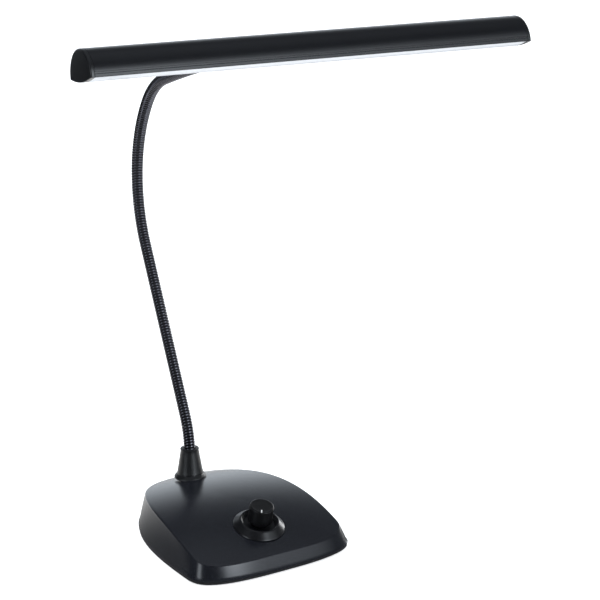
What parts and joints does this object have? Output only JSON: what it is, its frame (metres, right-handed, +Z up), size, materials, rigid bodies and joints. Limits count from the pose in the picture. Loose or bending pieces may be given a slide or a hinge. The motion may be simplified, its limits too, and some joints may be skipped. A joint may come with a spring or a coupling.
{
  "type": "piano lamp",
  "caption": "Desk lamp for a piano: weighted base with a rotary dimmer, a bendable gooseneck and a long half-round lamp head.",
  "frame": {"origin": "centre of the base's underside, where the foot pad meets the table", "axes": "+Z up, -Y towards the front, where the head reaches out over the keys, +X to the right as seen from the front"},
  "size_m": [0.346, 0.32, 0.4291],
  "materials": {
    "cover_abs": "fine satin texture, blue-black",
    "plate_steel": "black powder coat",
    "foam": "matt foam rubber",
    "zinc_steel": "bright zinc plated",
    "ballast_iron": "raw sawn plate",
    "collar_abs": "turned satin black",
    "dimmer_can": "pressed can",
    "knob_abs": "satin black",
    "pointer_white": "white inlay",
    "board_green": "solder mask",
    "parts_black": "moulded parts",
    "post_brass": "turned",
    "jack_black": "moulded",
    "boot_abs": "satin black",
    "neck_steel": "black coated wound wire",
    "coil_steel": "oiled spring wire",
    "lead_pvc": "soft PVC",
    "ferrule_black": "black coated brass",
    "bracket_alu": "sawn",
    "housing_alu": "satin black powder coat on extruded aluminium",
    "cap_abs": "satin black",
    "diffuser_acrylic": "opal acrylic",
    "carrier_alu": "mill finish",
    "strip_white": "white solder mask",
    "led_phosphor": "phosphor lens"
  },
  "bodies": {
    "base": {"base_cover": "cover_abs", "base_plate": "plate_steel", "foot_pad": "foam", "base_screws": "zinc_steel", "ballast_slab": "ballast_iron", "ballast_screws": "zinc_steel", "knob_collar": "collar_abs", "dimmer_body": "dimmer_can", "dimmer_nut": "zinc_steel", "driver_board": "board_green", "driver_parts": "parts_black", "board_posts": "post_brass", "board_screws": "zinc_steel", "power_jack": "jack_black", "jack_nut": "zinc_steel", "jack_pin": "zinc_steel", "neck_boot": "boot_abs", "lower_ferrule": "zinc_steel", "neck_washer": "zinc_steel", "neck_nut": "zinc_steel", "neck_section_1": "neck_steel", "neck_core": "coil_steel", "lead": "lead_pvc"},
    "dial": {"dimmer_shaft": "dimmer_can", "knob": "knob_abs", "knob_pointer": "pointer_white"},
    "neck_lower": {"neck_section_2": "neck_steel"},
    "neck_rise": {"neck_section_3": "neck_steel"},
    "neck_arch": {"neck_section_4": "neck_steel"},
    "neck_top": {"neck_section_5": "neck_steel"},
    "neck_reach": {"neck_section_6": "neck_steel"},
    "head": {"neck_section_7": "neck_steel", "upper_ferrule": "ferrule_black", "head_stem": "ferrule_black", "stem_nut": "zinc_steel", "head_bracket": "bracket_alu", "bracket_screws": "ferrule_black", "head_housing": "housing_alu", "end_cap_left": "cap_abs", "end_cap_right": "cap_abs", "diffuser": "diffuser_acrylic", "led_carrier": "carrier_alu", "led_board": "strip_white", "leds": "led_phosphor"}
  },
  "joints": [
    {"name": "dial_turn", "type": "hinge", "parent": "base", "child": "dial", "pos_m": [0, -0.0471, 0.02609], "axis": [0, 0.2732, -0.962], "range_deg": [0, 300]},
    {"name": "boot_bend", "type": "hinge", "parent": "base", "child": "neck_lower", "pos_m": [0, 0.0641, 0.06496], "axis": [1, 0, 0], "range_deg": [-20, 20], "deforming": ["neck_core", "lead"]},
    {"name": "side_bend", "type": "hinge", "parent": "neck_lower", "child": "neck_rise", "pos_m": [0, 0.09479, 0.13969], "axis": [0, 0.91, -0.4147], "range_deg": [-20, 20]},
    {"name": "arch_bend", "type": "hinge", "parent": "neck_rise", "child": "neck_arch", "pos_m": [0, 0.14261, 0.27285], "axis": [1, 0, 0], "range_deg": [-20, 20]},
    {"name": "top_bend", "type": "hinge", "parent": "neck_arch", "child": "neck_top", "pos_m": [0, 0.10655, 0.35729], "axis": [1, 0, 0], "range_deg": [-20, 20]},
    {"name": "head_swing", "type": "hinge", "parent": "neck_top", "child": "neck_reach", "pos_m": [0, 0.0273, 0.38444], "axis": [0, 0.2564, 0.9666], "range_deg": [-20, 20]},
    {"name": "head_tilt", "type": "hinge", "parent": "neck_reach", "child": "head", "pos_m": [0, -0.04943, 0.40207], "axis": [0.9963, -0.0854, 0], "range_deg": [-20, 20]}
  ]
}
